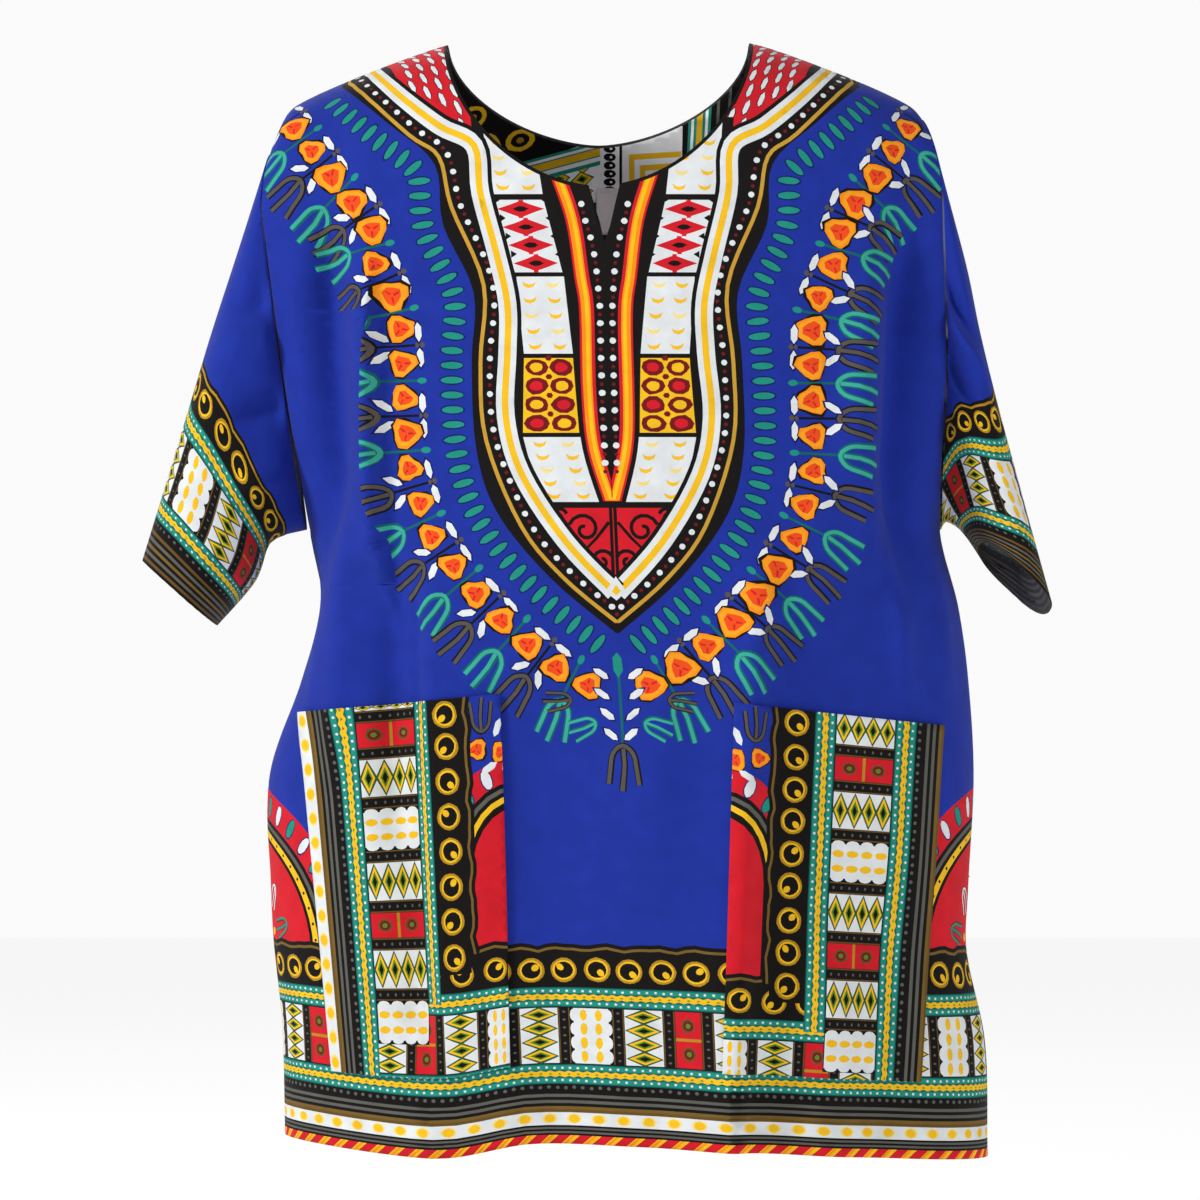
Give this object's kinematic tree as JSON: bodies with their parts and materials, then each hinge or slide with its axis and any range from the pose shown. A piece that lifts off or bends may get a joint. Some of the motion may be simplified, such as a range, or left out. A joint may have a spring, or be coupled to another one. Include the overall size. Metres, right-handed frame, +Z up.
{
  "type": "dashiki shirt",
  "caption": "Short-sleeved dashiki shirt filled out as when worn, with a printed yoke, hem and sleeve borders, two patch pockets and a slit neck.",
  "frame": {"origin": "between the wearer's shoulders, level with the inner ends of the shoulder lines, where the shirt is held up", "axes": "+Z up, the front of the shirt faces -Y, +X to the right of someone looking at the front"},
  "size_m": [0.6487, 0.2447, 0.7903],
  "materials": {
    "print": "matt printed cotton",
    "border": "matt printed cotton, border print",
    "facing": "matt printed cotton, scrap of the border print",
    "label": "smooth woven tape, blank"
  },
  "bodies": {
    "root": {"front": "print", "back": "print", "sleeve_left": "print", "sleeve_right": "print", "pocket_left": "border", "pocket_right": "border", "neck_facing": "facing", "neck_label": "label"}
  },
  "joints": []
}
